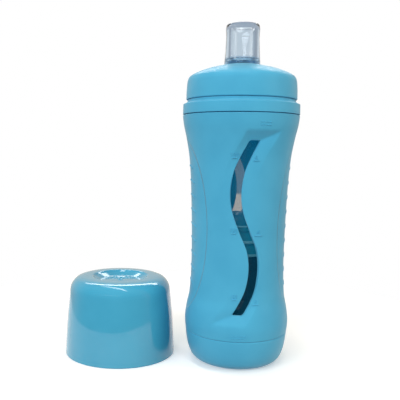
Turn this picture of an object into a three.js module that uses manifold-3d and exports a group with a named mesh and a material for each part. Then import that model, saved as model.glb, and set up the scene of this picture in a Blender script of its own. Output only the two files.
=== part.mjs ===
// A spouted drinking bottle: an open glass tube stands in a moulded casing with two S-shaped
// windows, between a screwed base cup and a screwed neck ring. A domed collar screws onto the
// neck and clamps a soft spout with a slit valve. A platform slides in the tube under the
// contents. The overcap stands beside the bottle on the same surface.
// Millimetres, +Z up. The origin is the centre of the bottle's flat foot. The front window
// faces -Y, and the overcap stands on the -X side.
import * as THREE from "three";
import { mergeVertices } from "three/addons/utils/BufferGeometryUtils.js";
import Module from "manifold-3d";

const wasm = await Module();
wasm.setup();

// ---------------------------------------------------------------- driving dimensions
const SEGMENTS = 40; // facets round a turned piece
const GAP = 0.3; // clearance between pieces that rest on each other
const WALL = 2.2; // moulded wall of the casing
const SLOT_WALL = 1.8; // wall under the scoop around a window

const FLANGE_R = 36; // widest radius of the bottle, at the neck ring
const TUBE = { inner: 20.8, outer: 23, bottom: 9, top: 150, edge: 0.5 };
const CASING = { bottom: 20, top: 154.6 };
const NECK = { shoulder: 163.9, rim: 173.8, radius: 29.7 };
const SPOUT_TOP = 209.5;
const OVERCAP = { height: 50.5, rim: 35.9, spot: [-75.2, 11.6] };

// Heights and radii of the casing's outer face, bottom to top.
const CASING_OUTLINE = [
  [CASING.bottom, 32.2],
  [26.5, 32.7],
  [35, 31.75],
  [44, 30],
  [66, 29.05],
  [104, 29.85],
  [128, 31.35],
  [141, 33.5],
  [148.5, 35.2],
  [CASING.top, FLANGE_R],
];

// A window is a slot of even width along an S. Its line is given as sideways offsets at
// heights above the S's middle, measured round a cylinder of radius WINDOW.radius. The S swings
// a little further out below its middle than above.
const WINDOW = {
  radius: 29.6,
  middle: 85.8,
  halfWidth: 3.3,
  bottom: 35.4,
  top: 139,
  line: [
    [-69, -8.4],
    [-60, -7.6],
    [-53.5, -4.8],
    [-44.6, 0.4],
    [-35, 4.7],
    [-23, 6.6],
    [-12, 5.25],
    [0, 0.1],
    [12, -4.4],
    [23, -5.6],
    [35, -3.75],
    [44.6, 0.3],
    [53.5, 5],
    [60, 7.7],
    [69, 8.4],
  ],
};
// The scoop around a window keeps the slot's edges near the waist's radius where the casing
// flares. Its two sides lie at unequal distances from the slot's line.
const SCOOP = { bottom: 29.5, top: 144.7, near: 8.1, far: 11.3, turnOver: 15 };
const SCOOP_FLOOR = [
  [50, 29.3],
  [105, 29.9],
];

// Two-start screw threads, all of one lead.
const LEAD = 6;
const STARTS = 2;
const THREAD = { turns: 0.6, rootWidth: 1.2, crestWidth: 0.7, sink: 0.4, fade: 0.12 };
const RING_BORE = { radius: 33.3, bottom: 148 }; // casing's upper thread bore
const BASE_BORE = { radius: 30.2, top: 31 }; // casing's lower thread bore
const RING_SKIRT_R = 31.7; // neck ring's skirt inside the upper bore
const BASE_SKIRT_R = 28.8; // base cup's skirt inside the lower bore
const COLLAR_BORE_R = 31.2;
const THREAD_HEIGHT = 1.1;

// ---------------------------------------------------------------- shape helpers
const lerp = THREE.MathUtils.lerp;
const clamp01 = (t) => THREE.MathUtils.clamp(t, 0, 1);

// Smooth value at x through stations [x, value], with a tangent at each from its neighbours.
function smooth(stations, x) {
  const last = stations.length - 1;
  const i = THREE.MathUtils.clamp(stations.findIndex((s) => s[0] > x) - 1, 0, last - 1);
  const at = x >= stations[last][0] ? last - 1 : i;
  const slope = (k) => {
    const a = stations[Math.max(k - 1, 0)];
    const b = stations[Math.min(k + 1, last)];
    return (b[1] - a[1]) / (b[0] - a[0]);
  };
  const [x0, y0] = stations[at];
  const [x1, y1] = stations[at + 1];
  const span = x1 - x0;
  const t = clamp01((x - x0) / span);
  return (
    y0 * (1 + 2 * t) * (1 - t) ** 2 +
    span * slope(at) * t * (1 - t) ** 2 +
    y1 * t * t * (3 - 2 * t) +
    span * slope(at + 1) * t * t * (t - 1)
  );
}

// Points along a cubic curve between its ends, both included.
function curvePoints(p0, p1, p2, p3, steps) {
  const ends = [p0, p1, p2, p3].map(([r, z]) => new THREE.Vector2(r, z));
  return new THREE.CubicBezierCurve(...ends).getPoints(steps).map((p) => [p.x, p.y]);
}

// A solid of revolution about Z from a closed outline of [radius, height] points. An outline
// that meets the axis starts and ends on it.
function turned(outline, segments = SEGMENTS) {
  const onAxis = outline[0][0] === 0;
  const loop = onAxis ? outline : [...outline, outline[0]];
  const points = loop.map(([r, z]) => new THREE.Vector2(r, z));
  if (THREE.ShapeUtils.area(points) < 0) points.reverse();
  return new THREE.LatheGeometry(points, segments).rotateX(Math.PI / 2);
}

function toSolid(geometry) {
  const bare = geometry.index ? geometry.toNonIndexed() : geometry.clone();
  bare.deleteAttribute("normal");
  bare.deleteAttribute("uv");
  const merged = mergeVertices(bare, 1e-3);
  return new wasm.Manifold(
    new wasm.Mesh({
      numProp: 3,
      vertProperties: merged.attributes.position.array,
      triVerts: new Uint32Array(merged.index.array),
    }),
  );
}

function toGeometry(solid) {
  const mesh = solid.getMesh();
  const geometry = new THREE.BufferGeometry();
  geometry.setAttribute("position", new THREE.BufferAttribute(mesh.vertProperties, 3));
  geometry.setIndex(new THREE.BufferAttribute(mesh.triVerts, 1));
  geometry.computeVertexNormals();
  return geometry;
}

function joined(...geometries) {
  return toGeometry(geometries.map(toSolid).reduce((sum, next) => sum.add(next)));
}

function cutBy(geometry, ...tools) {
  return toGeometry(tools.map(toSolid).reduce((rest, tool) => rest.subtract(tool), toSolid(geometry)));
}

// One start of a right-handed thread: a trapezoid ridge wound up from height z, standing on
// the wall at rootR and reaching rootR + height. A negative height makes an inner thread.
function threadRidge(rootR, height, z, phase) {
  const steps = Math.round(SEGMENTS * THREAD.turns);
  const sunk = rootR - Math.sign(height) * THREAD.sink;
  const positions = [];
  for (let i = 0; i <= steps; i++) {
    const share = i / steps;
    const angle = phase + share * THREAD.turns * 2 * Math.PI;
    const middle = z + share * THREAD.turns * LEAD;
    const full = clamp01(Math.min(share, 1 - share) / THREAD.fade);
    const crest = rootR + height * lerp(0.1, 1, full);
    const section = [
      [sunk, middle - THREAD.rootWidth / 2],
      [crest, middle - THREAD.crestWidth / 2],
      [crest, middle + THREAD.crestWidth / 2],
      [sunk, middle + THREAD.rootWidth / 2],
    ];
    for (const [r, h] of section) positions.push(r * Math.cos(angle), r * Math.sin(angle), h);
  }
  const index = [];
  const quad = (a, b, c, d) => index.push(a, b, c, a, c, d);
  for (let i = 0; i < steps; i++) {
    for (let k = 0; k < 4; k++) {
      const next = (k + 1) % 4;
      quad(4 * i + k, 4 * i + 4 + k, 4 * i + 4 + next, 4 * i + next);
    }
  }
  quad(0, 1, 2, 3);
  quad(4 * steps + 3, 4 * steps + 2, 4 * steps + 1, 4 * steps);
  if (height < 0) index.reverse();
  const geometry = new THREE.BufferGeometry();
  geometry.setAttribute("position", new THREE.Float32BufferAttribute(positions, 3));
  geometry.setIndex(index);
  return geometry;
}

function thread(rootR, height, z) {
  return Array.from({ length: STARTS }, (_, start) =>
    threadRidge(rootR, height, z, (start * 2 * Math.PI) / STARTS),
  );
}

// ---------------------------------------------------------------- casing
const casingRadius = (z) => smooth(CASING_OUTLINE, z);
const windowLine = (z) => smooth(WINDOW.line, z - WINDOW.middle);

// Distance of the scoop's left (side -1) or right (side 1) edge from the window's line.
function scoopReach(side, z) {
  const upper = clamp01(0.5 + (z - WINDOW.middle) / (2 * SCOOP.turnOver));
  return lerp(SCOOP.far, SCOOP.near, side < 0 ? upper : 1 - upper);
}

// Depth of the scoop below the casing's outline, at an offset from the window's line.
function scoopDepth(offset, z) {
  const [low, high] = SCOOP_FLOOR;
  const floor = lerp(low[1], high[1], clamp01((z - low[0]) / (high[0] - low[0])));
  const depth = Math.max(0, casingRadius(z) - floor);
  const reach = scoopReach(offset < 0 ? -1 : 1, z);
  const across = (reach - Math.abs(offset)) / (reach - WINDOW.halfWidth);
  const above = (SCOOP.top - z) / (SCOOP.top - WINDOW.top);
  const below = (z - SCOOP.bottom) / (WINDOW.bottom - SCOOP.bottom);
  return depth * clamp01(Math.min(across, above, below));
}

function casingBore(z) {
  if (z <= BASE_BORE.top) return BASE_BORE.radius;
  if (z >= RING_BORE.bottom) return RING_BORE.radius;
  return casingRadius(z) - WALL;
}

// The casing is a double-skinned grid. Its columns follow the windows' lines, so that the slot
// is a run of cells left out of both skins and walled round.
function casing() {
  const plainColumns = 6; // columns between a scoop's edge and the middle of a side
  const quarter = (WINDOW.radius * Math.PI) / 2;
  const columns = []; // { side, share } where share is 1 at the slot, 2 at the scoop, 3 mid-side
  for (let i = plainColumns; i >= 1; i--) columns.push({ side: -1, share: 2 + i / plainColumns });
  for (const share of [2, 1]) columns.push({ side: -1, share });
  for (const share of [1, 2]) columns.push({ side: 1, share });
  for (let i = 1; i < plainColumns; i++) columns.push({ side: 1, share: 2 + i / plainColumns });
  const slotFrom = columns.findIndex((c) => c.side < 0 && c.share === 1);
  const slotTo = columns.findIndex((c) => c.side > 0 && c.share === 1);
  const rows = [
    CASING.bottom, 25, SCOOP.bottom, BASE_BORE.top, WINDOW.bottom, 41, 47, 54, 62, 70, 78,
    WINDOW.middle, 94, 102, 110, 118, 125, 132, WINDOW.top, SCOOP.top, RING_BORE.bottom,
    CASING.top,
  ];
  const rowOf = (z) => rows.indexOf(z);
  const perTurn = 2 * columns.length;

  // Offset from the window's line, and the arc from the window's middle.
  const place = ({ side, share }, z) => {
    const line = windowLine(z);
    const reach = scoopReach(side, z);
    if (share <= 1) return { offset: side * share * WINDOW.halfWidth, line };
    if (share <= 2) return { offset: side * lerp(WINDOW.halfWidth, reach, share - 1), line };
    const arc = lerp(line + side * reach, side * quarter, share - 2);
    return { offset: arc - line, line };
  };
  const skins = [[], []]; // outer and inner points, row by row
  for (const z of rows) {
    for (let column = 0; column < perTurn; column++) {
      const at = place(columns[column % columns.length], z);
      const turn = column < columns.length ? 0 : Math.PI;
      const angle = (at.line + at.offset) / WINDOW.radius - Math.PI / 2 + turn;
      const outer = casingRadius(z) - scoopDepth(at.offset, z);
      const inner = Math.min(casingBore(z), outer - SLOT_WALL);
      [outer, inner].forEach((r, k) => skins[k].push(r * Math.cos(angle), r * Math.sin(angle), z));
    }
  }
  const innerStart = rows.length * perTurn;
  const outerAt = (row, column) => row * perTurn + (column % perTurn);
  const innerAt = (row, column) => innerStart + outerAt(row, column);
  const index = [];
  const quad = (a, b, c, d) => index.push(a, b, c, a, c, d);
  const open = (row, column) => {
    const local = column % columns.length;
    return row >= rowOf(WINDOW.bottom) && row < rowOf(WINDOW.top) && local >= slotFrom && local < slotTo;
  };
  for (let row = 0; row < rows.length - 1; row++) {
    for (let c = 0; c < perTurn; c++) {
      if (open(row, c)) {
        // walls of the slot, where a neighbouring cell is solid
        if (!open(row, c + perTurn - 1))
          quad(innerAt(row, c), innerAt(row + 1, c), outerAt(row + 1, c), outerAt(row, c));
        if (!open(row, c + 1))
          quad(innerAt(row + 1, c + 1), innerAt(row, c + 1), outerAt(row, c + 1), outerAt(row + 1, c + 1));
        if (!open(row - 1, c))
          quad(innerAt(row, c + 1), innerAt(row, c), outerAt(row, c), outerAt(row, c + 1));
        if (!open(row + 1, c))
          quad(innerAt(row + 1, c), innerAt(row + 1, c + 1), outerAt(row + 1, c + 1), outerAt(row + 1, c));
        continue;
      }
      quad(outerAt(row, c), outerAt(row, c + 1), outerAt(row + 1, c + 1), outerAt(row + 1, c));
      quad(innerAt(row, c + 1), innerAt(row, c), innerAt(row + 1, c), innerAt(row + 1, c + 1));
    }
  }
  const top = rows.length - 1;
  for (let c = 0; c < perTurn; c++) {
    quad(outerAt(0, c + 1), outerAt(0, c), innerAt(0, c), innerAt(0, c + 1));
    quad(outerAt(top, c), outerAt(top, c + 1), innerAt(top, c + 1), innerAt(top, c));
  }
  const shell = new THREE.BufferGeometry();
  shell.setAttribute("position", new THREE.Float32BufferAttribute([...skins[0], ...skins[1]], 3));
  shell.setIndex(index);
  return joined(
    shell,
    ...thread(RING_BORE.radius, -THREAD_HEIGHT, 150.1),
    ...thread(BASE_BORE.radius, 0.1 - THREAD_HEIGHT, 21.8),
  );
}

// ---------------------------------------------------------------- tube, its seals and platform
function glassTube() {
  const { inner, outer, bottom, top, edge } = TUBE;
  return turned([
    [inner + edge, bottom],
    [outer - edge, bottom],
    [outer, bottom + edge],
    [outer, top - edge],
    [outer - edge, top],
    [inner + edge, top],
    [inner, top - edge],
    [inner, bottom + edge],
  ]);
}

// A soft ring with a flat web over the tube's end and a lip round its outside. side is 1 at
// the tube's top and -1 at its bottom.
function tubeSeal(end, side) {
  const bore = TUBE.inner + 0.1;
  const grip = TUBE.outer + 0.4;
  const rim = grip + 2.2;
  return turned([
    [bore, end + side * GAP],
    [grip, end + side * GAP],
    [grip, end - side * 3.4],
    [rim, end - side * 3.4],
    [rim, end + side * 2.4],
    [bore, end + side * 2.4],
  ]);
}

const PLATFORM_TOP = 87.6; // at the rim round its dome
const LIP_PITCH = 8.2; // from one sealing lip to the next

function platformCore() {
  const top = PLATFORM_TOP;
  const dome = 7.6;
  const spool = 17;
  const land = 17.9;
  return turned([
    ...curvePoints([0, top + dome], [7, top + dome], [13, top + 4.5], [18.4, top + 0.4], 6),
    [18.8, top],
    [20.2, top],
    [20.4, top - 0.6],
    [20.2, top - 1.4],
    [18.2, top - 2.6],
    [spool, top - 3.2],
    [spool, top - 7.2],
    [land, top - 7.5],
    [land, top - 11],
    [spool, top - 11.4],
    [spool, top - 15.4],
    [land, top - 15.7],
    [land, top - 17.7],
    [15.4, top - 17.7],
    [15.4, top],
    ...curvePoints([14.8, top + 0.8], [10.5, top + 3.8], [5, top + dome - 2], [0, top + dome - 2], 4),
  ]);
}

// A soft ring on the platform's spool with a lip that flares down to the glass.
function platformLip(root) {
  return turned([
    [17.3, root],
    [18.5, root],
    [19.2, root - 1.6],
    [20.5, root - 5.6],
    [20.2, root - 6.1],
    [18.3, root - 3.4],
    [17.3, root - 3.4],
  ]);
}

// ---------------------------------------------------------------- neck ring, collar and spout
function neckRing() {
  const { shoulder, rim, radius } = NECK;
  const flange = CASING.top + GAP;
  const ring = turned([
    [21.2, TUBE.top + 2.7],
    [29.2, TUBE.top + 2.7],
    [29.2, TUBE.top - 3.6],
    [RING_SKIRT_R, TUBE.top - 3.6],
    [RING_SKIRT_R, flange],
    [FLANGE_R - 0.3, flange],
    [FLANGE_R, flange + 0.3],
    [FLANGE_R - 0.1, shoulder - 3.5],
    [FLANGE_R - 0.4, shoulder - 2.8],
    [34.3, shoulder - 0.3],
    [33.8, shoulder],
    [radius, shoulder],
    [radius, rim - 0.5],
    [radius - 0.5, rim],
    [26.9, rim],
    [26.9, 160],
    [21.2, 155.4],
  ]);
  return joined(
    ring,
    ...thread(RING_SKIRT_R, THREAD_HEIGHT, 148.6),
    ...thread(radius, THREAD_HEIGHT, 168),
  );
}

function collar() {
  const bottom = NECK.shoulder + 0.4;
  const clampFace = NECK.rim + 2.6; // bears on the spout's flange
  const body = turned([
    [31.6, bottom],
    [33.3, bottom],
    [33.9, bottom + 0.5],
    [34.05, bottom + 1.3],
    [33.95, 168],
    [33.7, 172.5],
    [33.35, 175.5],
    [32.5, 177.4],
    [30.3, 179.2],
    [26.8, 180.9],
    [21.7, 182.7],
    [16, 184.1],
    [12.2, 185],
    [11.5, 184.6],
    [11.5, 183],
    [12.2, 182.6],
    [21.6, 180.1],
    [24.6, 178.9],
    [24.6, clampFace],
    [COLLAR_BORE_R, clampFace],
    [COLLAR_BORE_R, bottom + 0.5],
  ]);
  return joined(body, ...thread(COLLAR_BORE_R, -THREAD_HEIGHT, 166.5));
}

function spout() {
  const flange = NECK.rim + GAP;
  const tip = SPOUT_TOP;
  return turned([
    [21.4, flange],
    [29.2, flange],
    [29.2, flange + 2],
    [23.2, flange + 2],
    [22.6, 178.2],
    [20.6, 179.5],
    [12.2, 181.7],
    [11.2, 182.3],
    [11.1, 184.5],
    [10.9, 187.5],
    [10.45, 194.7],
    [10.15, 201.5],
    [10.2, 204.5],
    [10.4, tip - 2.9],
    [10.25, tip - 1.7],
    [9.8, tip - 0.6],
    [9, tip],
    [8.5, tip],
    [7.9, tip - 1],
    [7.5, tip - 2.8],
    [7.5, 188.8],
    [6.4, 188.5],
    [6.4, 187.4],
    [8.6, 187.4],
    [8.6, 184.4],
    [8.1, 184.2],
    [8.1, 183.4],
    [9.6, 181],
    [20, 177],
    [21.2, 175.4],
  ]);
}

function spoutValve() {
  const rim = 8.3;
  const bottom = 184.7;
  return turned(
    [
      [0, bottom + 2.3],
      [3, bottom + 2],
      [6, bottom + 1.1],
      [6.9, bottom],
      [rim, bottom],
      [rim, bottom + 2.4],
      [6.9, bottom + 2.4],
      [6.2, bottom + 1.9],
      [3, bottom + 2.8],
      [0, bottom + 3.1],
    ],
    24,
  );
}

// ---------------------------------------------------------------- base cup
function baseCup() {
  const top = CASING.bottom - GAP;
  const floor = 2.4;
  const pedestal = TUBE.bottom - 2.7 + 0.4; // carries the tube's lower seal
  const skirtTop = BASE_BORE.top;
  const shell = turned([
    [0, 0],
    ...curvePoints([22.5, 0], [29.5, 0], [31.2, 9], [32.15, top], 7),
    [30, top],
    [30, floor + 6.6],
    [BASE_SKIRT_R, floor + 6.6],
    [BASE_SKIRT_R, skirtTop - 0.5],
    [BASE_SKIRT_R - 0.5, skirtTop],
    [26.6, skirtTop],
    [26.6, pedestal - 0.3],
    [19.6, pedestal - 0.3],
    [19.6, floor],
    [0, floor],
  ]);
  const threaded = joined(shell, ...thread(BASE_SKIRT_R, THREAD_HEIGHT - 0.1, 23.3));
  // Air reaches the underside of the platform through four notches in the pedestal.
  const notch = { length: 54.4, width: 6, height: 5 };
  const notches = [0, Math.PI / 2].map((turn) =>
    new THREE.BoxGeometry(notch.length, notch.width, notch.height)
      .rotateZ(turn)
      .translate(0, 0, floor + 0.5 + notch.height / 2),
  );
  return cutBy(threaded, ...notches);
}

// ---------------------------------------------------------------- overcap
function overcap() {
  const { height, rim } = OVERCAP;
  return turned([
    [0, height - 3],
    [12.8, height - 3],
    [13.6, height - 2.8],
    [17.4, height - 0.5],
    [18.4, height],
    [26.6, height - 0.3],
    [28.6, height - 0.9],
    [29.8, height - 2.2],
    [31.6, height - 5],
    [32.4, height - 7],
    [32.7, height - 9],
    [rim - 0.15, 3],
    [rim, 0.3],
    [rim - 0.3, 0],
    [34.7, 0],
    [34.4, 1],
    [34.3, 3.5],
    [31.2, height - 8.6],
    [30.3, height - 6],
    [28.4, height - 3.1],
    [25.8, height - 1.9],
    [18.6, height - 1.8],
    [14, height - 4.5],
    [0, height - 4.7],
  ]);
}

// ---------------------------------------------------------------- assembly
const SATIN_BLUE = { color: 0x4fa6cb, roughness: 0.5, metalness: 0 };
const GLOSS_BLUE = { color: 0x45a3c4, roughness: 0.12, metalness: 0 };
const SEAL_TEAL = { color: 0x1d7f97, roughness: 0.45, metalness: 0 };
const CLEAR_SILICONE = { color: 0xdfe8ef, roughness: 0.15, metalness: 0, transparent: true, opacity: 0.4 };
const CLEAR_GLASS = { color: 0xf2fafa, roughness: 0.03, metalness: 0, transparent: true, opacity: 0.25 };

function piece(name, geometry, finish) {
  const mesh = new THREE.Mesh(geometry, new THREE.MeshStandardMaterial(finish));
  mesh.name = name;
  return mesh;
}

const bottle = new THREE.Group();
bottle.add(
  piece("casing", casing(), SATIN_BLUE),
  piece("glass_tube", glassTube(), CLEAR_GLASS),
  piece("upper_tube_seal", tubeSeal(TUBE.top, 1), SEAL_TEAL),
  piece("lower_tube_seal", tubeSeal(TUBE.bottom, -1), SEAL_TEAL),
  piece("platform_core", platformCore(), SEAL_TEAL),
  piece("platform_upper_lip", platformLip(PLATFORM_TOP - 3.5), SEAL_TEAL),
  piece("platform_lower_lip", platformLip(PLATFORM_TOP - 3.5 - LIP_PITCH), SEAL_TEAL),
  piece("neck_ring", neckRing(), SATIN_BLUE),
  piece("collar", collar(), SATIN_BLUE),
  piece("spout", spout(), CLEAR_SILICONE),
  piece("spout_valve", spoutValve(), CLEAR_SILICONE),
  piece("base_cup", baseCup(), SATIN_BLUE),
);

const cap = piece("overcap", overcap(), GLOSS_BLUE);
cap.position.set(...OVERCAP.spot, 0);

const part = new THREE.Group();
part.add(bottle, cap);
export default part;
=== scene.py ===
"""The looks of the spouted drinking bottle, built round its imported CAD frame: detailed meshes,
procedural materials, floor, light and camera. Shapes are worked out in millimetres and turned
into metres when a mesh is made."""

import math

import bpy
from mathutils import Euler, Matrix, Vector


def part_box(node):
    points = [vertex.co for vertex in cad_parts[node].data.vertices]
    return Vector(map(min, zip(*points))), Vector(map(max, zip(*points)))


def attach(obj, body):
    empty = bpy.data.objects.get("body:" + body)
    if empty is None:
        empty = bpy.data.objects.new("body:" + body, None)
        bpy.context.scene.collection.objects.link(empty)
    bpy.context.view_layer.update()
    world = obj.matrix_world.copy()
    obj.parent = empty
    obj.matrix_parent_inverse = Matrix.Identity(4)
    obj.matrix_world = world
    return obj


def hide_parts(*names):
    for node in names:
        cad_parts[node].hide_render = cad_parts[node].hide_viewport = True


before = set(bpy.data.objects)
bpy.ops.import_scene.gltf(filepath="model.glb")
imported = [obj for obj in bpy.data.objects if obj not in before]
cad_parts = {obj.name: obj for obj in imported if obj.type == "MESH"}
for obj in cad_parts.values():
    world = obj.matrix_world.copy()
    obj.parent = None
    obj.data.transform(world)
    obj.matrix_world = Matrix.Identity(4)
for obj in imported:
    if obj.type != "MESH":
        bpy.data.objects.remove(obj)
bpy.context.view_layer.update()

MM = 0.001
TURN_STEPS = 128  # facets round a turned piece
SHARP_ANGLE = math.radians(35)


# ------------------------------------------------------------------ sizes taken from the frame
def span(node):
    """Bottom, top and outer radius of a CAD node, in mm."""
    low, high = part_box(node)
    return low.z / MM, high.z / MM, (high.x - low.x) / 2 / MM


CASING_BOTTOM, CASING_TOP, FLANGE_R = span("casing")
TUBE_BOTTOM, TUBE_TOP, TUBE_R = span("glass_tube")
CAP_LOW, CAP_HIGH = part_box("overcap")
RING_SHOULDER = span("neck_ring")[1] - 9.9  # the neck's thread stands above it
SEAM = 0.1  # gap drawn under the collar and over the base cup
WALL = 2.2  # moulded wall of the casing
SLOT_WALL = 1.8  # wall under the scoop around a window

# The casing's wider bores at its ends: the neck ring's above, the base cup's below.
RING_BORE_R = 33.3
RING_BORE_BOTTOM = 148
BASE_BORE_R = 30.2
BASE_BORE_TOP = 31

# The casing's outline, its window and the scoop round it, as in the CAD.
CASING_OUTLINE = [
    (CASING_BOTTOM, 32.2),
    (26.5, 32.7),
    (35, 31.75),
    (44, 30),
    (66, 29.05),
    (104, 29.85),
    (128, 31.35),
    (141, 33.5),
    (148.5, 35.2),
    (CASING_TOP, FLANGE_R),
]
WINDOW_R = 29.6  # radius that sideways offsets are measured round
WINDOW_MIDDLE = 85.8
WINDOW_HALF_WIDTH = 3.3
WINDOW_BOTTOM = 35.4
WINDOW_TOP = 139
WINDOW_LINE = [  # heights above WINDOW_MIDDLE and sideways offsets
    (-69, -8.4),
    (-60, -7.6),
    (-53.5, -4.8),
    (-44.6, 0.4),
    (-35, 4.7),
    (-23, 6.6),
    (-12, 5.25),
    (0, 0.1),
    (12, -4.4),
    (23, -5.6),
    (35, -3.75),
    (44.6, 0.3),
    (53.5, 5),
    (60, 7.7),
    (69, 8.4),
]
SCOOP_BOTTOM = 29.5
SCOOP_TOP = 144.7
SCOOP_NEAR = 8.1  # distances of its two edges from the window's line
SCOOP_FAR = 11.3
SCOOP_TURN_OVER = 15  # height above and below the middle over which the two change sides
SCOOP_FLOOR = [(50, 29.3), (105, 29.9)]  # heights and radii of its floor
QUARTER = WINDOW_R * math.pi / 2  # arc of a quarter turn

# Oval grip panel in the middle of each flank, a little sunk.
GRIP = {"z": 86, "half_height": 54, "half_width": 23, "depth": 0.55}
RIBS_EACH_WAY = 4  # ribs above and below the middle one
RIB_PITCH = GRIP["half_height"] / 6
RIB_BOW = 1.6

# Width and lift of the raised lines on the casing.
RIB = (1.2, 0.35)
SCALE_LINE = (0.7, 0.7)
DIGIT_STROKE = (0.4, 0.35)
SHORT_BAR = (0.5, 0.35)


# ------------------------------------------------------------------ outline helpers
def lerp(a, b, t):
    return a + (b - a) * t


def clamp01(t):
    return min(1.0, max(0.0, t))


def smooth(stations, x):
    """Smooth value at x through (x, value) stations."""
    last = len(stations) - 1
    at = next((i for i in range(last) if x < stations[i + 1][0]), last - 1)

    def slope(k):
        (x0, y0), (x1, y1) = stations[max(k - 1, 0)], stations[min(k + 1, last)]
        return (y1 - y0) / (x1 - x0)

    (x0, y0), (x1, y1) = stations[at], stations[at + 1]
    width = x1 - x0
    t = clamp01((x - x0) / width)
    return (
        y0 * (1 + 2 * t) * (1 - t) ** 2
        + width * slope(at) * t * (1 - t) ** 2
        + y1 * t * t * (3 - 2 * t)
        + width * slope(at + 1) * t * t * (t - 1)
    )


def flow(points, steps=5):
    """Points of a smooth curve through the given points, both ends included."""
    lengths = [0]
    for a, b in zip(points, points[1:]):
        lengths.append(lengths[-1] + math.dist(a, b))
    rs = [(s, p[0]) for s, p in zip(lengths, points)]
    zs = [(s, p[1]) for s, p in zip(lengths, points)]
    curve = []
    for a, b in zip(lengths, lengths[1:]):
        for i in range(steps):
            s = lerp(a, b, i / steps)
            curve.append((smooth(rs, s), smooth(zs, s)))
    return curve + [tuple(points[-1])]


def rounded(corners, steps=5):
    """Outline through (r, z) or (r, z, fillet) corners, with an arc at each that has a fillet."""
    outline = []
    count = len(corners)
    for i, (r, z, *fillet) in enumerate(corners):
        here = Vector((r, z))
        if not fillet:
            outline.append((r, z))
            continue
        before = Vector(corners[i - 1][:2]) - here
        after = Vector(corners[(i + 1) % count][:2]) - here
        half = before.angle(after) / 2
        reach = min(fillet[0] / math.tan(half), before.length * 0.49, after.length * 0.49)
        a = here + before.normalized() * reach
        b = here + after.normalized() * reach
        for k in range(steps + 1):
            t = k / steps
            point = a * (1 - t) ** 2 + here * 2 * t * (1 - t) + b * t * t
            outline.append((point.x, point.y))
    return outline


# ------------------------------------------------------------------ mesh helpers
def turned(outline, steps=TURN_STEPS):
    """Vertices and faces of a solid of revolution about Z, from a closed (r, z) outline."""
    area = sum(a[0] * b[1] - b[0] * a[1] for a, b in zip(outline, outline[1:] + outline[:1]))
    if area < 0:
        outline = outline[::-1]
    verts, rings = [], []
    for r, z in outline:
        on_axis = r < 1e-6
        ring = []
        for k in range(1 if on_axis else steps):
            angle = 2 * math.pi * k / steps
            ring.append(len(verts))
            verts.append((r * math.cos(angle), r * math.sin(angle), z))
        rings.append(ring * steps if on_axis else ring)
    faces = []
    for a, b in zip(rings, rings[1:] + rings[:1]):
        for k in range(steps):
            n = (k + 1) % steps
            face = [a[k], a[n], b[n], b[k]]
            corners = [v for j, v in enumerate(face) if v != face[j - 1]]
            if len(set(corners)) >= 3:
                faces.append(corners)
    return verts, faces


def joined(*shapes):
    verts, faces = [], []
    for shape_verts, shape_faces in shapes:
        start = len(verts)
        verts += shape_verts
        faces += [[start + v for v in face] for face in shape_faces]
    return verts, faces


def flipped(shape):
    verts, faces = shape
    return verts, [face[::-1] for face in faces]


def swept(sections):
    """Skin over a row of closed sections with equal counts of points, closed at both ends."""
    count = len(sections[0])
    verts = [p for section in sections for p in section]
    faces = [list(range(count))]
    for i in range(len(sections) - 1):
        for k in range(count):
            n = (k + 1) % count
            faces.append([i * count + n, i * count + k, (i + 1) * count + k, (i + 1) * count + n])
    faces.append([len(verts) - 1 - k for k in range(count)])
    return verts, faces


# ------------------------------------------------------------------ screw threads
LEAD = 6
STARTS = 2
THREAD_TURNS = 0.6
THREAD_HEIGHT = 1.1
BASE_THREAD_HEIGHT = 1
THREAD_FADE = 0.12  # share of a start's length over which it rises to full height


def thread(root, height, z):
    """Both starts of a right-handed thread on a wall of radius root. A negative height points in."""
    steps = round(TURN_STEPS * THREAD_TURNS)
    sunk = root - math.copysign(0.4, height)  # the thread's foot, a little inside the wall
    shapes = []
    for start in range(STARTS):
        sections = []
        for i in range(steps + 1):
            share = i / steps
            angle = 2 * math.pi * (start / STARTS + share * THREAD_TURNS)
            middle = z + share * THREAD_TURNS * LEAD
            full = clamp01(min(share, 1 - share) / THREAD_FADE)
            crest = root + height * lerp(0.1, 1, math.sin(full * math.pi / 2))
            profile = [(sunk, -0.6), (crest, -0.35), (crest, 0.35), (sunk, 0.6)]
            sections.append(
                [(r * math.cos(angle), r * math.sin(angle), middle + h) for r, h in profile]
            )
        shape = swept(sections)
        shapes.append(flipped(shape) if height < 0 else shape)
    return joined(*shapes)


# ------------------------------------------------------------------ casing
def casing_radius(z):
    return smooth(CASING_OUTLINE, z)


def window_line(z):
    return smooth(WINDOW_LINE, z - WINDOW_MIDDLE)


def soft_ramp(t, blend=0.06):
    """t held between 0 and 1, with small rounds where it is stopped."""
    low = (t + math.sqrt(t * t + blend * blend)) / 2
    high = 1 - low
    return 1 - (high + math.sqrt(high * high + blend * blend)) / 2


def scoop_reach(side, z):
    """Distance of the scoop's left (side -1) or right (side 1) edge from the window's line."""
    upper = clamp01(0.5 + (z - WINDOW_MIDDLE) / (2 * SCOOP_TURN_OVER))
    return lerp(SCOOP_FAR, SCOOP_NEAR, upper if side < 0 else 1 - upper)


def scoop_depth(offset, z):
    (z0, r0), (z1, r1) = SCOOP_FLOOR
    floor = lerp(r0, r1, clamp01((z - z0) / (z1 - z0)))
    depth = max(0.0, casing_radius(z) - floor)
    reach = scoop_reach(-1 if offset < 0 else 1, z)
    across = (reach - abs(offset)) / (reach - WINDOW_HALF_WIDTH)
    above = (SCOOP_TOP - z) / (SCOOP_TOP - WINDOW_TOP)
    below = (z - SCOOP_BOTTOM) / (WINDOW_BOTTOM - SCOOP_BOTTOM)
    return depth * soft_ramp(min(across, above, below))


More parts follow.
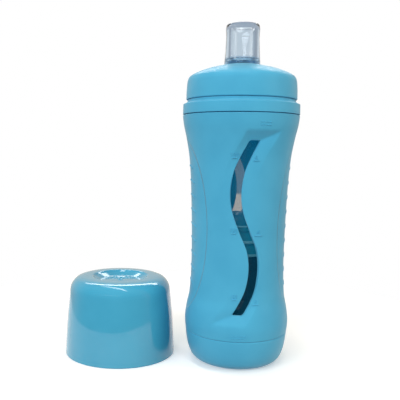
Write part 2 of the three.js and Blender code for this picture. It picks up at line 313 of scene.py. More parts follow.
def casing_skin(arc, z):
    """Outer radius of the casing at an arc from a window's middle."""
    return casing_radius(z) - scoop_depth(arc - window_line(z), z)


def heights(low, high, step):
    count = max(1, round((high - low) / step))
    return [lerp(low, high, i / count) for i in range(count)]


def casing_shell():
    """Double-skinned grid whose columns follow the windows' lines, with the windows left out."""
    corner = 1.0  # radius of the window's corners
    edge = 0.35  # chamfer round the window and round the casing's ends
    scoop_columns = 12
    plain_columns = 22
    shares = [1 + edge / 5, *(1 + (i + 0.5) / scoop_columns for i in range(scoop_columns))]
    shares += [2 + i / plain_columns for i in range(plain_columns + 1)]
    left = [(-1, share) for share in reversed(shares)]
    slot = [(-1, 1), (-1, 0.5), (1, 0), (1, 0.5), (1, 1)]
    right = [(1, share) for share in shares[:-1]]
    columns = left + slot + right
    slot_from = len(left)
    slot_to = slot_from + len(slot) - 1
    rounds = [0, 0.1, 0.35, 0.7, corner]
    rows = [CASING_BOTTOM, CASING_BOTTOM + edge]
    rows += heights(CASING_BOTTOM + 1.2, WINDOW_BOTTOM - 1, 1.2) + [WINDOW_BOTTOM - edge]
    rows += [WINDOW_BOTTOM + d for d in rounds]
    rows += heights(WINDOW_BOTTOM + 1.8, WINDOW_TOP - 1.8, 1.2)
    rows += [WINDOW_TOP - d for d in reversed(rounds)] + [WINDOW_TOP + edge]
    rows += heights(WINDOW_TOP + 1, CASING_TOP - 1, 1) + [CASING_TOP - edge, CASING_TOP]
    first, last = rows.index(WINDOW_BOTTOM), rows.index(WINDOW_TOP)

    def half_width(z):
        near = min(abs(z - WINDOW_BOTTOM), abs(z - WINDOW_TOP), corner)
        return WINDOW_HALF_WIDTH - corner + math.sqrt(corner**2 - (corner - near) ** 2)

    def arc_at(side, share, z):
        line, reach = window_line(z), scoop_reach(side, z)
        inner = half_width(z) if WINDOW_BOTTOM <= z <= WINDOW_TOP else half_width(WINDOW_TOP)
        if share <= 1:
            return line + side * share * inner
        if share <= 2:
            return line + side * lerp(inner, reach, share - 1)
        return lerp(line + side * reach, side * QUARTER, share - 2)

    per_turn = 2 * len(columns)
    outer, inner = [], []
    for row, z in enumerate(rows):
        for half in range(2):
            for column, (side, share) in enumerate(columns):
                arc = arc_at(side, share, z)
                r = casing_skin(arc, z)
                bore = min(casing_bore(z), r - SLOT_WALL)
                on_window = first <= row <= last and slot_from <= column <= slot_to
                on_border = row in (first, last) or column in (slot_from, slot_to)
                if (on_window and on_border) or row in (0, len(rows) - 1):
                    r -= edge
                angle = arc / WINDOW_R - math.pi / 2 + half * math.pi
                outer.append((r * math.cos(angle), r * math.sin(angle), z))
                inner.append((bore * math.cos(angle), bore * math.sin(angle), z))

    def is_open(row, column):
        local = column % len(columns)
        return first <= row < last and slot_from <= local < slot_to

    def out(row, column):
        return row * per_turn + column % per_turn

    def inn(row, column):
        return len(outer) + out(row, column)

    faces = []
    for row in range(len(rows) - 1):
        for c in range(per_turn):
            if not is_open(row, c):
                faces.append([out(row, c), out(row, c + 1), out(row + 1, c + 1), out(row + 1, c)])
                faces.append([inn(row, c + 1), inn(row, c), inn(row + 1, c), inn(row + 1, c + 1)])
                continue
            if not is_open(row, c - 1):
                faces.append([inn(row, c), inn(row + 1, c), out(row + 1, c), out(row, c)])
            if not is_open(row, c + 1):
                faces.append(
                    [inn(row + 1, c + 1), inn(row, c + 1), out(row, c + 1), out(row + 1, c + 1)]
                )
            if row == first:
                faces.append([inn(row, c + 1), inn(row, c), out(row, c), out(row, c + 1)])
            if row == last - 1:
                faces.append(
                    [inn(row + 1, c), inn(row + 1, c + 1), out(row + 1, c + 1), out(row + 1, c)]
                )
    top = len(rows) - 1
    for c in range(per_turn):
        faces.append([out(0, c + 1), out(0, c), inn(0, c), inn(0, c + 1)])
        faces.append([out(top, c), out(top, c + 1), inn(top, c + 1), inn(top, c)])
    return outer + inner, faces


def casing_bore(z):
    """Inner radius of the casing."""
    if z <= BASE_BORE_TOP:
        return BASE_BORE_R
    if z >= RING_BORE_BOTTOM:
        return RING_BORE_R
    return casing_radius(z) - WALL


def on_casing(arc, z, lift, half):
    """Point at a height above the casing's skin. half 0 is the front and 1 the back."""
    r = casing_skin(arc, z) + lift
    angle = arc / WINDOW_R - math.pi / 2 + half * math.pi
    return r * math.cos(angle), r * math.sin(angle), z


def raised_line(path, size, half):
    """A low rounded line on the casing through (arc, z) points, of a (width, lift) size."""
    width, lift = size
    # Half a cross-section, in shares of the width and the lift.
    left = [(-0.5, -0.25), (-0.47, 0.55), (-0.3, 0.9)]
    profile = [*left, (0, 1), *((-s, h) for s, h in reversed(left))]
    lengths = [0]
    for a, b in zip(path, path[1:]):
        lengths.append(lengths[-1] + math.dist(a, b))
    last = len(path) - 1
    sections = []
    for i, (arc, z) in enumerate(path):
        before, after = path[max(i - 1, 0)], path[min(i + 1, last)]
        along = Vector((after[0] - before[0], after[1] - before[1])).normalized()
        from_end = clamp01(min(lengths[i], lengths[-1] - lengths[i]) / (width / 2))
        full = max(0.15, math.sqrt(1 - (1 - from_end) ** 2))
        section = []
        for s, h in profile:
            offset = s * width * full
            height = lift * h * (full if h > 0 else 1)
            section.append(on_casing(arc + along.y * offset, z - along.x * offset, height, half))
        sections.append(section)
    return swept(sections)


def bar(arc0, arc1, z, bend=0.0):
    """Path round the casing between two arcs, bowed up by bend in its middle."""
    steps = max(8, round(abs(arc1 - arc0) / 0.8))
    shares = [i / steps for i in range(steps + 1)]
    return [(lerp(arc0, arc1, t), z + bend * math.sin(math.pi * t)) for t in shares]


def arc_of(degrees):
    return WINDOW_R * math.radians(degrees)


def half_turned(points):
    """Points of a unit box turned half a turn about its middle."""
    return [(1 - x, 1 - y) for x, y in points]


# Strokes of the digits in a box one unit wide and one high.
ZERO_SIDE = [(0.1, 0.8), (0.05, 0.5), (0.1, 0.2)]
EIGHT_TOP = [(0.15, 0.77), (0.5, 1), (0.85, 0.77)]
EIGHT_FOOT = [(0.05, 0.27), (0.5, 0), (0.95, 0.27)]
DIGITS = {
    "0": [(0.5, 1), *ZERO_SIDE, (0.5, 0), *half_turned(ZERO_SIDE), (0.5, 1)],
    "1": [(0.25, 0.75), (0.6, 1), (0.6, 0.5), (0.6, 0)],
    "2": [(0.05, 0.75), (0.5, 1), (0.95, 0.75), (0.5, 0.35), (0.05, 0), (0.95, 0)],
    "4": [(0.7, 0), (0.7, 1), (0.05, 0.35), (0.95, 0.35)],
    "6": [(0.85, 0.9), (0.45, 0.95), (0.1, 0.6), (0.1, 0.2), (0.5, 0), (0.9, 0.25), (0.5, 0.52), (0.15, 0.4)],
    "8": [(0.5, 0.53), *EIGHT_TOP, (0.5, 0.53), *EIGHT_FOOT, (0.5, 0.53)],
}
DIGIT_WIDTH = 1.3
DIGIT_HEIGHT = 2.1
DIGIT_PITCH = 1.9
DIGIT_GAP = 0.9  # from a scale line up to its number

# Plain scale beside each window: height, arcs of the line's ends, number over it.
SCALE = [
    (128.7, arc_of(-15.4), arc_of(-10.1), "180"),
    (84.7, arc_of(-15.3), arc_of(-9), "120"),
    (45.1, arc_of(-12.9), arc_of(-6.5), "60"),
    (127.4, arc_of(7.5), arc_of(14.6), "6"),
    (83.5, arc_of(11.9), arc_of(22.1), "4"),
    (42.3, arc_of(11.7), arc_of(19), "2"),
]
# Rows of short plain bars: heights of the rows, arcs of the ends.
BAR_ROWS = [
    ((147.7, 149.4), arc_of(11.5), arc_of(23.5)),
    ((22.2, 23.8), arc_of(-12), arc_of(5.5)),
]
BARS_IN_ROW = 4
BAR_SHARE = 0.75  # share of its pitch that a bar fills


def number(text, arc, z):
    """Paths of a number centred on an arc, standing on z."""
    left = arc - (DIGIT_PITCH * (len(text) - 1) + DIGIT_WIDTH) / 2
    paths = []
    for i, digit in enumerate(text):
        start = left + i * DIGIT_PITCH
        corners = [(start + x * DIGIT_WIDTH, z + y * DIGIT_HEIGHT) for x, y in DIGITS[digit]]
        paths.append(flow(corners, 4))
    return paths


def grip_ribs():
    """Bowed ribs over the grip panel, whose middle is a quarter turn from the window."""
    ribs = []
    for row in range(-RIBS_EACH_WAY, RIBS_EACH_WAY + 1):
        rise = row * RIB_PITCH
        panel_half = GRIP["half_width"] * math.sqrt(1 - (rise / GRIP["half_height"]) ** 2)
        reach = panel_half / 2
        ribs.append(bar(QUARTER - reach, QUARTER + reach, GRIP["z"] + rise, RIB_BOW))
    return ribs


def casing_marks():
    """Ribs on both grip panels, and the scale and the rows of bars by both windows."""
    shapes = []
    for half in range(2):
        shapes += [raised_line(rib, RIB, half) for rib in grip_ribs()]
        for z, start, end, text in SCALE:
            shapes.append(raised_line(bar(start, end, z), SCALE_LINE, half))
            for stroke in number(text, (start + end) / 2, z + DIGIT_GAP):
                shapes.append(raised_line(stroke, DIGIT_STROKE, half))
        for rows, start, end in BAR_ROWS:
            pitch = (end - start) / BARS_IN_ROW
            for z in rows:
                for i in range(BARS_IN_ROW):
                    path = bar(start + i * pitch, start + (i + BAR_SHARE) * pitch, z)
                    shapes.append(raised_line(path, SHORT_BAR, half))
    return joined(*shapes)


def casing():
    return joined(
        casing_shell(),
        casing_marks(),
        thread(RING_BORE_R, -THREAD_HEIGHT, z=150.1),
        thread(BASE_BORE_R, -BASE_THREAD_HEIGHT, z=21.8),
    )


# ------------------------------------------------------------------ turned pieces
def neck_ring():
    bottom, top, flange_r = span("neck_ring")
    seat = CASING_TOP + 0.5
    plug_r = 31.7
    neck_r = 29.7
    outline = rounded(
        [
            (21.2, TUBE_TOP + 2.7),
            (29.2, TUBE_TOP + 2.7),
            (29.2, bottom, 0.3),
            (plug_r, bottom, 0.4),
            (plug_r, seat),
            (flange_r, seat, 0.2),
            (flange_r - 0.15, RING_SHOULDER - 2.7, 0.4),
            (34.3, RING_SHOULDER - 2.1, 0.8),
            (33.2, RING_SHOULDER - 1, 0.5),
            (33.2, RING_SHOULDER - 0.1, 0.3),
            (neck_r, RING_SHOULDER, 0.3),
            (neck_r, top, 0.5),
            (26.9, top, 0.5),
            (26.9, 160, 1),
            (21.2, 155.4, 0.5),
        ]
    )
    return joined(
        turned(outline),
        thread(plug_r, THREAD_HEIGHT, z=148.6),
        thread(neck_r, THREAD_HEIGHT, z=168),
    )


def collar():
    _, top, _ = span("collar")
    bottom = RING_SHOULDER + SEAM
    bore_r = 31.2
    dome = flow(
        [
            (34, top - 19.5),
            (33.9, top - 15.4),
            (33.6, top - 11.3),
            (33.3, top - 9.4),
            (32.4, top - 7.4),
            (30.2, top - 5.8),
            (26.8, top - 4.2),
            (21.7, top - 2.4),
            (16, top - 0.95),
            (12.5, top - 0.1),
        ]
    )
    inside = [
        (11.5, top - 2, 0.3),
        (21.6, top - 4.9, 1),
        (24.6, top - 6.1, 0.3),
        (24.6, top - 8.6),
        (bore_r, top - 8.6, 0.4),
        (bore_r, bottom, 0.3),
    ]
    rolled_edge = (34.05, bottom, 1.1)
    outline = rounded([rolled_edge, *dome, (11.5, top - 0.1, 0.4), *inside])
    return joined(turned(outline), thread(bore_r, -THREAD_HEIGHT, z=166.5))


def spout():
    bottom, top, flange_r = span("spout")
    stem = flow(
        [
            (11.1, 184),
            (10.9, 187.5),
            (10.45, 194.7),
            (10.15, 201.5),
            (10.2, 204.5),
            (10.4, top - 2.9),
            (10.25, top - 1.7),
        ]
    )
    outline = rounded(
        [
            (21.4, bottom, 0.3),
            (flange_r, bottom, 0.4),
            (flange_r, bottom + 2, 0.4),
            (23.2, bottom + 2, 0.8),
            (22.6, 178.2, 0.8),
            (20.6, 179.5, 1),
            (12.2, 181.7, 0.8),
            (11.2, 182.3, 0.6),
            *stem,
            (9.9, top - 0.1, 1.1),
            (8.6, top, 0.6),
            (7.5, top - 2.9, 0.25),
            (7.45, 188.9, 0.3),
            (6.4, 188.5, 0.2),
            (6.4, 187.4, 0.2),
            (8.6, 187.4, 0.2),
            (8.6, 184.4, 0.2),
            (8.1, 184.2),
            (8.1, 183.4, 0.3),
            (9.6, 181, 0.6),
            (20, 177, 1.2),
            (21.2, 175.4, 0.6),
        ]
    )
    return turned(outline)


def spout_valve():
    bottom, top, rim = span("spout_valve")
    outline = rounded(
        [
            (0, top - 0.8),
            (3, top - 1.1, 1),
            (6, top - 2, 1),
            (6.9, bottom, 0.2),
            (rim, bottom, 0.2),
            (rim, bottom + 2.4, 0.2),
            (6.9, bottom + 2.4, 0.3),
            (6.2, bottom + 1.9, 0.3),
            (3, bottom + 2.8, 1),
            (0, top),
        ]
    )
    return turned(outline, 96)


def base_cup():
    _, skirt_top, _ = span("base_cup")
    skirt_r = 28.8
    top = CASING_BOTTOM - SEAM
    pedestal = TUBE_BOTTOM - 2.6
    bowl = flow(
        [
            (19.8, 0),
            (22.9, 0.3),
            (26, 1.6),
            (28.3, 3.9),
            (29.8, 7.1),
            (30.9, 10.9),
            (31.7, 15.6),
            (32.1, top - 0.5),
        ]
    )
    inside = [
        (30.1, top, 0.2),
        (30, 9),
        (skirt_r, 9),
        (skirt_r, skirt_top, 0.5),
        (26.6, skirt_top, 0.5),
        (26.6, pedestal, 0.8),
        (19.6, pedestal, 0.5),
        (19.6, 2.4, 0.8),
        (0, 2.4),
    ]
    outline = [(0, 0), *bowl, *rounded([(31.9, top), *inside])]
    return joined(turned(outline), thread(skirt_r, BASE_THREAD_HEIGHT, z=23.3))


def tube():
    inner = TUBE_R - 2.2
    return turned(
        rounded(
            [
                (inner, TUBE_BOTTOM, 0.7),
                (TUBE_R, TUBE_BOTTOM, 0.7),
                (TUBE_R, TUBE_TOP, 0.7),
                (inner, TUBE_TOP, 0.7),
            ]
        )
    )


def tube_seal(end, side):
    bore, grip, rim = TUBE_R - 2.1, TUBE_R + 0.4, TUBE_R + 2.6
    outline = [
        (bore, end + side * 0.3),
        (grip, end + side * 0.3),
        (grip, end - side * 3.4, 0.3),
        (rim, end - side * 3.4, 0.6),
        (rim, end + side * 2.4, 0.8),
        (bore, end + side * 2.4, 0.5),
    ]
    return turned(rounded(outline), 96)


def platform_core():
    bottom, crown, _ = span("platform_core")
    top = bottom + 17.7  # rim round the dome
    dome = flow([(0, crown), (5, crown - 0.5), (10, crown - 2.4), (14.5, top + 3), (18.3, top + 0.9)])
    outline = rounded(
        [
            *dome,
            (18.8, top + 0.7, 0.2),
            (20.3, top + 0.7, 0.3),
            (20.3, top - 0.3, 0.3),
            (19.4, top - 0.7, 0.2),
            (19.4, top - 3.1, 0.2),
            (17, top - 3.3, 0.3),
            (17, top - 7.2, 0.2),
            (17.9, top - 7.5, 0.2),
            (17.9, top - 9.5, 0.2),
            (19.4, top - 10.1, 0.2),
            (19.4, top - 11.2, 0.2),
            (17, top - 11.4, 0.2),
            (17, top - 15.4, 0.2),
            (17.9, top - 15.7, 0.2),
            (17.9, top - 17.7, 0.4),
            (15.4, top - 17.7, 0.4),
            (15.4, top, 1),
            (10.5, top + 3.6, 3),
            (5, crown - 2, 2),
            (0, crown - 2),
        ]
    )
    return turned(outline)


def platform_lip(node):
    _, root, _ = span(node)
    outline = rounded(
        [
            (17.3, root, 0.2),
            (18.5, root, 0.4),
            (19.2, root - 1.6, 0.8),
            (20.5, root - 6.4, 0.2),
            (20.2, root - 6.85, 0.15),
            (18.3, root - 3.4, 0.5),
            (17.3, root - 3.4, 0.2),
        ]
    )
    return turned(outline)


def overcap():
    _, height, rim = span("overcap")
    flank = flow(
        [
            (rim - 0.1, 2.2),
            (35.4, 12),
            (34.6, 24),
            (33.6, 34),
            (33, 40),
            (32.7, height - 8),
            (32.2, height - 6),
            (31.2, height - 4),
            (29.9, height - 2.4),
            (28.3, height - 1.2),
            (26.2, height - 0.5),
            (23.8, height - 0.15),
            (21.5, height - 0.05),
        ]
    )
    dimple = [(18.2, height, 1.2), (16.9, height - 1.2, 0.9), (13.2, height - 3, 1.6)]
    nub = [(1.5, height - 3, 0.4), (1.1, height - 2.45, 0.4), (0, height - 2.4)]
    inside = [
        (0, height - 4.7),
        (14, height - 4.6, 1.5),
        (18.6, height - 1.8, 1),
        (25.8, height - 1.9, 1),
        (28.3, height - 3.2, 2),
        (31.1, height - 8.6, 2),
        (34.3, 3.5, 1),
        (34.6, 0, 0.3),
        (rim, 0, 0.5),
    ]
    outline = rounded([*flank, *dimple, *nub, *inside])
    verts, faces = turned(outline, 160)
    centre = (CAP_LOW + CAP_HIGH) / 2 / MM
    return [(x + centre.x, y + centre.y, z) for x, y, z in verts], faces


# ------------------------------------------------------------------ materials
def new_material(name):
    material = bpy.data.materials.new(name)
    material.use_nodes = True
    tree = material.node_tree
    return material, tree, tree.nodes["Principled BSDF"]


def srgb(red, green, blue):
    def linear(value):
        value /= 255
        return value / 12.92 if value <= 0.04045 else ((value + 0.055) / 1.055) ** 2.4

    return linear(red), linear(green), linear(blue), 1


def set_socket(tree, socket, value):
    """Gives a socket a number or a colour, or links another node's output to it."""
    if isinstance(value, (int, float, tuple)):
        socket.default_value = value
    else:
        tree.links.new(value, socket)


def coordinates(tree, output="Object"):
    """The X, Y and Z outputs of a texture coordinate."""
    place = tree.nodes.new("ShaderNodeTexCoord")
    parts = tree.nodes.new("ShaderNodeSeparateXYZ")
    tree.links.new(place.outputs[output], parts.inputs["Vector"])
    return parts.outputs


def maths(tree, operation, *values):
    node = tree.nodes.new("ShaderNodeMath")
    node.operation = operation
    for socket, value in zip(node.inputs, values):
        set_socket(tree, socket, value)
    return node.outputs["Value"]


def ramp(tree, value, start, end, low=0.0, high=1.0):
    """Soft step from low to high as a value goes from start to end."""
    node = tree.nodes.new("ShaderNodeMapRange")
    node.interpolation_type = "SMOOTHSTEP"
    node.inputs["From Min"].default_value = start
    node.inputs["From Max"].default_value = end
    node.inputs["To Min"].default_value = low
    node.inputs["To Max"].default_value = high
    tree.links.new(value, node.inputs["Value"])
    return node.outputs["Result"]


def mixed(tree, factor, a, b):
    """Colour a where the factor is 0 and b where it is 1."""
    node = tree.nodes.new("ShaderNodeMix")
    node.data_type = "RGBA"
    set_socket(tree, node.inputs["Factor"], factor)
    set_socket(tree, node.inputs["A"], a)
    set_socket(tree, node.inputs["B"], b)
    return node.outputs["Result"]


def noise(tree, scale, detail=3.0, stretch=1.0):
    """Noise in the object's own metres. The scale is in waves a metre, the stretch upward."""
    place = tree.nodes.new("ShaderNodeTexCoord")
    mapping = tree.nodes.new("ShaderNodeMapping")
    mapping.inputs["Scale"].default_value = (1, 1, 1 / stretch)
    node = tree.nodes.new("ShaderNodeTexNoise")
    node.inputs["Scale"].default_value = scale
    node.inputs["Detail"].default_value = detail
    tree.links.new(place.outputs["Object"], mapping.inputs["Vector"])
    tree.links.new(mapping.outputs["Vector"], node.inputs["Vector"])
    return node.outputs["Fac"]


def between(tree, factor, low, high):
    """A number, or a colour, spread over the middle of a noise's range."""
    spread = ramp(tree, factor, 0.3, 0.7)
    if isinstance(low, tuple):
        return mixed(tree, spread, low, high)
    return maths(tree, "MULTIPLY_ADD", spread, high - low, low)


def bumped(tree, shader, height, distance, strength=1.0):
    """Adds a bump to a shader, over any it has already."""
    bump = tree.nodes.new("ShaderNodeBump")
    bump.inputs["Strength"].default_value = strength
    bump.inputs["Distance"].default_value = distance
    tree.links.new(height, bump.inputs["Height"])
    if shader.inputs["Normal"].links:
        tree.links.new(shader.inputs["Normal"].links[0].from_socket, bump.inputs["Normal"])
    tree.links.new(bump.outputs["Normal"], shader.inputs["Normal"])


def grip_outline(tree):
    """0 inside the oval grip panels and 1 outside."""
    x, y, z = coordinates(tree)
    turn = maths(tree, "ARCTAN2", y, maths(tree, "ABSOLUTE", x))
    across = maths(tree, "MULTIPLY", turn, WINDOW_R / GRIP["half_width"])
    above = maths(tree, "SUBTRACT", z, GRIP["z"] * MM)
    along = maths(tree, "DIVIDE", above, GRIP["half_height"] * MM)
    squares = maths(tree, "MULTIPLY_ADD", across, across, maths(tree, "MULTIPLY", along, along))
    return ramp(tree, squares, 0.94, 1)


def painted_inner_light(tree, shader, colour, low, high):
    """Painted light on the casing's inner faces: faces that look at the axis glow, more so higher up,
    standing in for light that falls inside the bottle.
    """
    x, y, z = coordinates(tree)
    normal_x, normal_y, _ = coordinates(tree, "Normal")
    outward = maths(tree, "MULTIPLY_ADD", x, normal_x, maths(tree, "MULTIPLY", y, normal_y))
    inward = maths(tree, "LESS_THAN", outward, -0.01)  # metres, a third of the bore's radius
    rise = ramp(tree, z, 0.06, 0.11, low, high)
    shader.inputs["Emission Color"].default_value = colour
    tree.links.new(maths(tree, "MULTIPLY", inward, rise), shader.inputs["Emission Strength"])


def satin_blue():
    """Moulded casing plastic: faint mottling, fine spark-eroded texture, soft shine."""
    material, tree, shader = new_material("satin_blue_plastic")
    mottle = between(tree, noise(tree, 45), srgb(74, 168, 205), srgb(79, 174, 210))
    tree.links.new(mottle, shader.inputs["Base Color"])
    tree.links.new(between(tree, noise(tree, 160), 0.42, 0.5), shader.inputs["Roughness"])
    shader.inputs["Specular IOR Level"].default_value = 0.3
    shader.inputs["Sheen Weight"].default_value = 0.15
    shader.inputs["Sheen Roughness"].default_value = 0.4
    shader.inputs["Sheen Tint"].default_value = (1, 0.94, 0.84, 1)
    bumped(tree, shader, noise(tree, 2600, 2), 0.00004, 0.5)
    bumped(tree, shader, grip_outline(tree), GRIP["depth"] * MM)
    # painted light inside the casing, brighter higher up
    painted_inner_light(tree, shader, srgb(20, 150, 190), 0.08, 0.5)
    return material


def gloss_blue():
    """Polished overcap plastic with faint flow marks."""
    material, tree, shader = new_material("gloss_blue_plastic")
    mottle = between(tree, noise(tree, 30), srgb(62, 160, 194), srgb(68, 166, 200))
    tree.links.new(mottle, shader.inputs["Base Color"])
    tree.links.new(between(tree, noise(tree, 90), 0.08, 0.15), shader.inputs["Roughness"])
    bumped(tree, shader, noise(tree, 55, 2), 0.0004, 0.2)
    shader.inputs["Specular IOR Level"].default_value = 0.4
    shader.inputs["Coat Weight"].default_value = 0.45
    shader.inputs["Coat Roughness"].default_value = 0.03
    return material


def clear_silicone(name, dark, light):
    """Clear soft plastic with faint upright draw marks. Its thick foot is tinted blue-grey, a painted
    reflection of the blue collar round it, and glows a little with painted light."""
    foot_top = (0.1875, 0.1905)  # metres over which the foot gives way to the stem
    material, tree, shader = new_material(name)
    height = coordinates(tree)["Z"]
    above_foot = ramp(tree, height, *foot_top)
    # the foot's blue-grey tint is a painted reflection of the collar
    tint = mixed(tree, above_foot, srgb(165, 196, 214), between(tree, noise(tree, 80), dark, light))
    tree.links.new(tint, shader.inputs["Base Color"])
    # painted light in the foot, fading out up the stem
    shader.inputs["Emission Color"].default_value = srgb(150, 190, 215)
    tree.links.new(ramp(tree, height, *foot_top, 0.05, 0), shader.inputs["Emission Strength"])
    tree.links.new(between(tree, noise(tree, 300), 0, 0.02), shader.inputs["Roughness"])
    bumped(tree, shader, noise(tree, 260, 1, 90), 0.0002, 0.4)
    shader.inputs["Transmission Weight"].default_value = 1
    shader.inputs["IOR"].default_value = 1.41
    return material


def tube_glass():
    """Thin clear glass with a dark teal tint, painted shade standing in for the dim inside of the bottle seen
    through it. Alpha stands for the share of light one face takes.
    """
    material, tree, shader = new_material("tube_glass")
    # dark teal tint: painted shade of the bottle's inside
    tint = between(tree, noise(tree, 30), srgb(28, 90, 114), srgb(34, 98, 122))
    tree.links.new(tint, shader.inputs["Base Color"])
    tree.links.new(between(tree, noise(tree, 200), 0.02, 0.06), shader.inputs["Roughness"])
    shader.inputs["Alpha"].default_value = 0.24
    shader.inputs["IOR"].default_value = 1.47
    return material


def seal_rubber(name, dark, light, roughness, painted_light=0.0, highlight_radius=None):
    """Teal seal material. Its glow is painted light, standing in for light falling on it inside the bottle.
    Past a given radius of the part it is painted paler, a painted highlight along its outer edge."""
    material, tree, shader = new_material(name)
    tint = between(tree, noise(tree, 120), dark, light)
    # painted highlight: the part's outermost ring is painted pale, as light catching its edge
    if highlight_radius:
        x, y, _ = coordinates(tree)
        squares = maths(tree, "MULTIPLY_ADD", x, x, maths(tree, "MULTIPLY", y, y))
        painted_highlight = maths(tree, "GREATER_THAN", maths(tree, "SQRT", squares), highlight_radius * MM)
        tint = mixed(tree, painted_highlight, tint, srgb(150, 232, 245))
    tree.links.new(tint, shader.inputs["Base Color"])
    spread = between(tree, noise(tree, 400), roughness - 0.06, roughness + 0.06)
    tree.links.new(spread, shader.inputs["Roughness"])
    bumped(tree, shader, noise(tree, 1800, 2), 0.00005, 0.5)
    shader.inputs["Emission Color"].default_value = srgb(20, 150, 185)
    # painted light: the part glows though no lamp is there
    shader.inputs["Emission Strength"].default_value = painted_light
    return material


# ------------------------------------------------------------------ the pieces
# strength of the painted light given to the platform's core and lips
PLATFORM_PAINTED_LIGHT = 0.12


def piece(name, shape, body, slot, material, *nodes):
    verts, faces = shape
    mesh = bpy.data.meshes.new(name)
    mesh.from_pydata([Vector(v) * MM for v in verts], [], faces)
    mesh.shade_smooth()
    mesh.set_sharp_from_angle(angle=SHARP_ANGLE)
    mesh.materials.append(material)
    obj = bpy.data.objects.new(name, mesh)
    bpy.context.scene.collection.objects.link(obj)
    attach(obj, body)
    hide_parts(*nodes)


def build_pieces():
    blue = satin_blue()
    silicone = clear_silicone("clear_silicone", srgb(246, 250, 253), srgb(251, 253, 255))
    # blue-grey tint: a painted reflection of the blue collar seen through the valve
    valve_silicone = clear_silicone("valve_silicone_painted_blue", srgb(120, 156, 180), srgb(130, 166, 190))
    seal = seal_rubber("teal_seal_rubber", srgb(40, 156, 188), srgb(48, 166, 198), 0.4)
    dark_lip, light_lip = srgb(26, 160, 186), srgb(34, 170, 196)
    dark_core, light_core = srgb(20, 152, 178), srgb(28, 162, 188)
    # the last two numbers are the painted light's strength and the radius past which a painted highlight is
    # laid
    lips = seal_rubber("teal_lip_rubber", dark_lip, light_lip, 0.4, PLATFORM_PAINTED_LIGHT, 20.15)
    core = seal_rubber("teal_plastic", dark_core, light_core, 0.35, PLATFORM_PAINTED_LIGHT, 20.25)
    piece("casing_shell", casing(), "bottle", "casing", blue, "casing")
    piece("inner_tube", tube(), "bottle", "glass_tube", tube_glass(), "glass_tube")
    piece("top_seal", tube_seal(TUBE_TOP, 1), "upper_seal", "tube_seals", seal, "upper_tube_seal")
    piece("foot_seal", tube_seal(TUBE_BOTTOM, -1), "lower_seal", "tube_seals", seal, "lower_tube_seal")
    piece("platform_body", platform_core(), "platform", "platform_core", core, "platform_core")
    for level in ("upper", "lower"):
        node = f"platform_{level}_lip"
        piece(f"{level}_lip", platform_lip(node), "platform", "platform_lips", lips, node)
    piece("threaded_neck", neck_ring(), "neck_ring", "casing", blue, "neck_ring")
    piece("domed_collar", collar(), "collar", "casing", blue, "collar")
    piece("soft_spout", spout(), "spout", "spout", silicone, "spout")
    piece("slit_valve", spout_valve(), "spout", "spout", valve_silicone, "spout_valve")
    piece("base", base_cup(), "base_cup", "casing", blue, "base_cup")
    piece("overcap_shell", overcap(), "overcap", "overcap", gloss_blue(), "overcap")


# ------------------------------------------------------------------ floor, light and camera
FLOOR_R = 0.22
FLOOR_AT = (-0.03, 0.05)
FLOOR_Z = -0.0001  # a hair below the pieces that stand on it
WHITE = (1, 1, 1, 1)
LIGHTS_AIM = Vector((0, 0, 0.1))

# The room's light on the pieces.
ROOM_FRONT = (0.22, 0.23, 0.24, 1)
ROOM_SIDE = (0.76, 0.7, 0.62, 1)
ROOM_CEILING = (0.42, 0.42, 0.4, 1)
ROOM_FLOOR = (0.36, 0.36, 0.36, 1)

# The same room, dimmed, as the clear spout bends it into view.
DIM_FRONT = (0.14, 0.15, 0.18, 1)
DIM_SIDE = (0.3, 0.36, 0.43, 1)
DIM_BACK = (0.58, 0.67, 0.74, 1)
DIM_CEILING = (0.1, 0.11, 0.15, 1)
DIM_FLOOR = (0.36, 0.42, 0.5, 1)

# Seen through the bottle's glass, over the far edge of a pale table.
WALL_BEHIND = (0.24, 0.4, 0.54, 1)
TABLE_BEHIND = (0.95, 0.9, 0.82, 1)

# Stretches of a direction's Y or Z over which one part of the surroundings gives way to the next.
ROOM_SIDE_Y = (-0.25, 0.55)
ROOM_CEILING_Z = (0.4, 0.9)
ROOM_FLOOR_Z = (-0.4, -0.05)
DIM_SIDE_Y = (-0.2, 0.5)
DIM_BACK_Y = (0.8, 0.95)
DIM_CEILING_Z = (0.25, 0.45)
DIM_FLOOR_Z = (-0.12, -0.02)
TABLE_EDGE_Z = (-0.0725, -0.0675)


def pale_floor():
    """A round table top. Past its rim the white backdrop goes on."""
    steps = 96
    rim = [2 * math.pi * k / steps for k in range(steps)]
    x, y = FLOOR_AT
    verts = [(x + FLOOR_R * math.cos(t), y + FLOOR_R * math.sin(t), FLOOR_Z) for t in rim]
    mesh = bpy.data.meshes.new("floor")
    mesh.from_pydata(verts, [], [list(range(steps))])
    material, tree, shader = new_material("pale_floor")
    tone = between(tree, noise(tree, 3), (0.97, 0.97, 0.97, 1), (0.99, 0.99, 0.99, 1))
    tree.links.new(tone, shader.inputs["Base Color"])
    shader.inputs["Roughness"].default_value = 0.9
    shader.inputs["Emission Color"].default_value = WHITE
    shader.inputs["Emission Strength"].default_value = 0.22
    mesh.materials.append(material)
    floor = bpy.data.objects.new("floor", mesh)
    floor.visible_diffuse = False
    bpy.context.scene.collection.objects.link(floor)


def softbox(name, place, width, height, power, colour=(1, 1, 1)):
    """Oval area light aimed at the bottle, in metres and watts."""
    light = bpy.data.lights.new(name, "AREA")
    light.shape = "ELLIPSE"
    light.size = width
    light.size_y = height
    light.energy = power
    light.color = colour
    obj = bpy.data.objects.new(name, light)
    obj.location = place
    obj.rotation_euler = (LIGHTS_AIM - Vector(place)).to_track_quat("-Z", "Y").to_euler()
    bpy.context.scene.collection.objects.link(obj)
    return obj


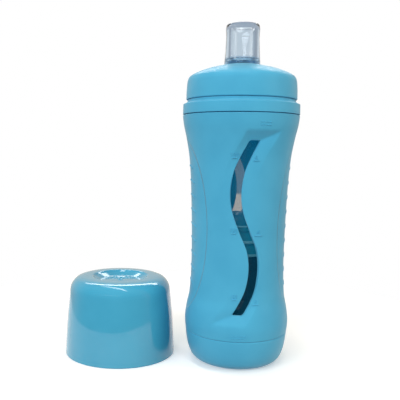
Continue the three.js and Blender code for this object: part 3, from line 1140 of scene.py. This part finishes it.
def backdrop(tree):
    """Colour of the world for each kind of ray. The camera sees white, but through the bottle's
    glass it sees a wall and a table."""
    _, y, z = coordinates(tree, "Generated")
    room = mixed(tree, ramp(tree, y, *ROOM_SIDE_Y), ROOM_FRONT, ROOM_SIDE)
    room = mixed(tree, ramp(tree, z, *ROOM_CEILING_Z), room, ROOM_CEILING)
    room = mixed(tree, ramp(tree, z, *ROOM_FLOOR_Z), ROOM_FLOOR, room)
    dim = mixed(tree, ramp(tree, y, *DIM_SIDE_Y), DIM_FRONT, DIM_SIDE)
    dim = mixed(tree, ramp(tree, y, *DIM_BACK_Y), dim, DIM_BACK)
    dim = mixed(tree, ramp(tree, z, *DIM_CEILING_Z), dim, DIM_CEILING)
    dim = mixed(tree, ramp(tree, z, *DIM_FLOOR_Z), DIM_FLOOR, dim)
    behind = mixed(tree, ramp(tree, z, *TABLE_EDGE_Z), TABLE_BEHIND, WALL_BEHIND)
    path = tree.nodes.new("ShaderNodeLightPath").outputs
    through_glass = maths(tree, "GREATER_THAN", path["Transparent Depth"], 0.5)
    camera_view = mixed(tree, through_glass, WHITE, behind)
    seen = mixed(tree, path["Is Transmission Ray"], room, dim)
    return mixed(tree, path["Is Camera Ray"], seen, camera_view)


def studio_light():
    """Soft boxes in a room that is brightest at its sides and back."""
    world = bpy.data.worlds.new("studio")
    world.use_nodes = True
    tree = world.node_tree
    tree.links.new(backdrop(tree), tree.nodes["Background"].inputs["Color"])
    bpy.context.scene.world = world
    softbox("ceiling", (-0.15, -0.1, 1.3), 1.4, 0.15, power=4.5, colour=(1, 0.96, 0.9))
    front = softbox("front", (-0.68, -1.2, 0.7), 1.8, 0.6, power=18.2)
    front.visible_glossy = False
    side = softbox("side", (1.1, -0.5, 0.45), 0.6, 1.2, power=5.5, colour=(1, 0.92, 0.8))
    side.visible_glossy = False
    shine = softbox("shine", (0.1, 0.95, 1), 1.8, 0.28, power=8)
    shine.visible_diffuse = False
    shine.visible_transmission = False
    bpy.context.scene.view_settings.view_transform = "Standard"


CAMERA = {
    "distance": 368.5,  # mm from the bottle's axis
    "height": 131.9,
    "around": 7.5,  # degrees to the left of the front window
    "heading": 0.3,  # degrees right of straight ahead
    "down": 6.21,
    "roll": 0.72,
    "focal_share": 1.4515,  # focal length as a share of the picture's width
    "shift": (0.0868, 0.037),  # the picture is framed off the lens's axis
}


def add_camera():
    data = bpy.data.cameras.new("camera")
    data.sensor_width = 36
    data.lens = data.sensor_width * CAMERA["focal_share"]
    data.shift_x, data.shift_y = CAMERA["shift"]
    data.clip_start = 0.01
    camera = bpy.data.objects.new("camera", data)
    around = math.radians(CAMERA["around"])
    distance = CAMERA["distance"] * MM
    place = Vector((-distance * math.sin(around), -distance * math.cos(around), CAMERA["height"] * MM))
    aim = Euler((math.radians(90 - CAMERA["down"]), 0, math.radians(-CAMERA["heading"])))
    roll = Matrix.Rotation(math.radians(CAMERA["roll"]), 4, "Z")
    camera.matrix_world = Matrix.Translation(place) @ aim.to_matrix().to_4x4() @ roll
    bpy.context.scene.collection.objects.link(camera)
    bpy.context.scene.camera = camera


build_pieces()
pale_floor()
studio_light()
add_camera()
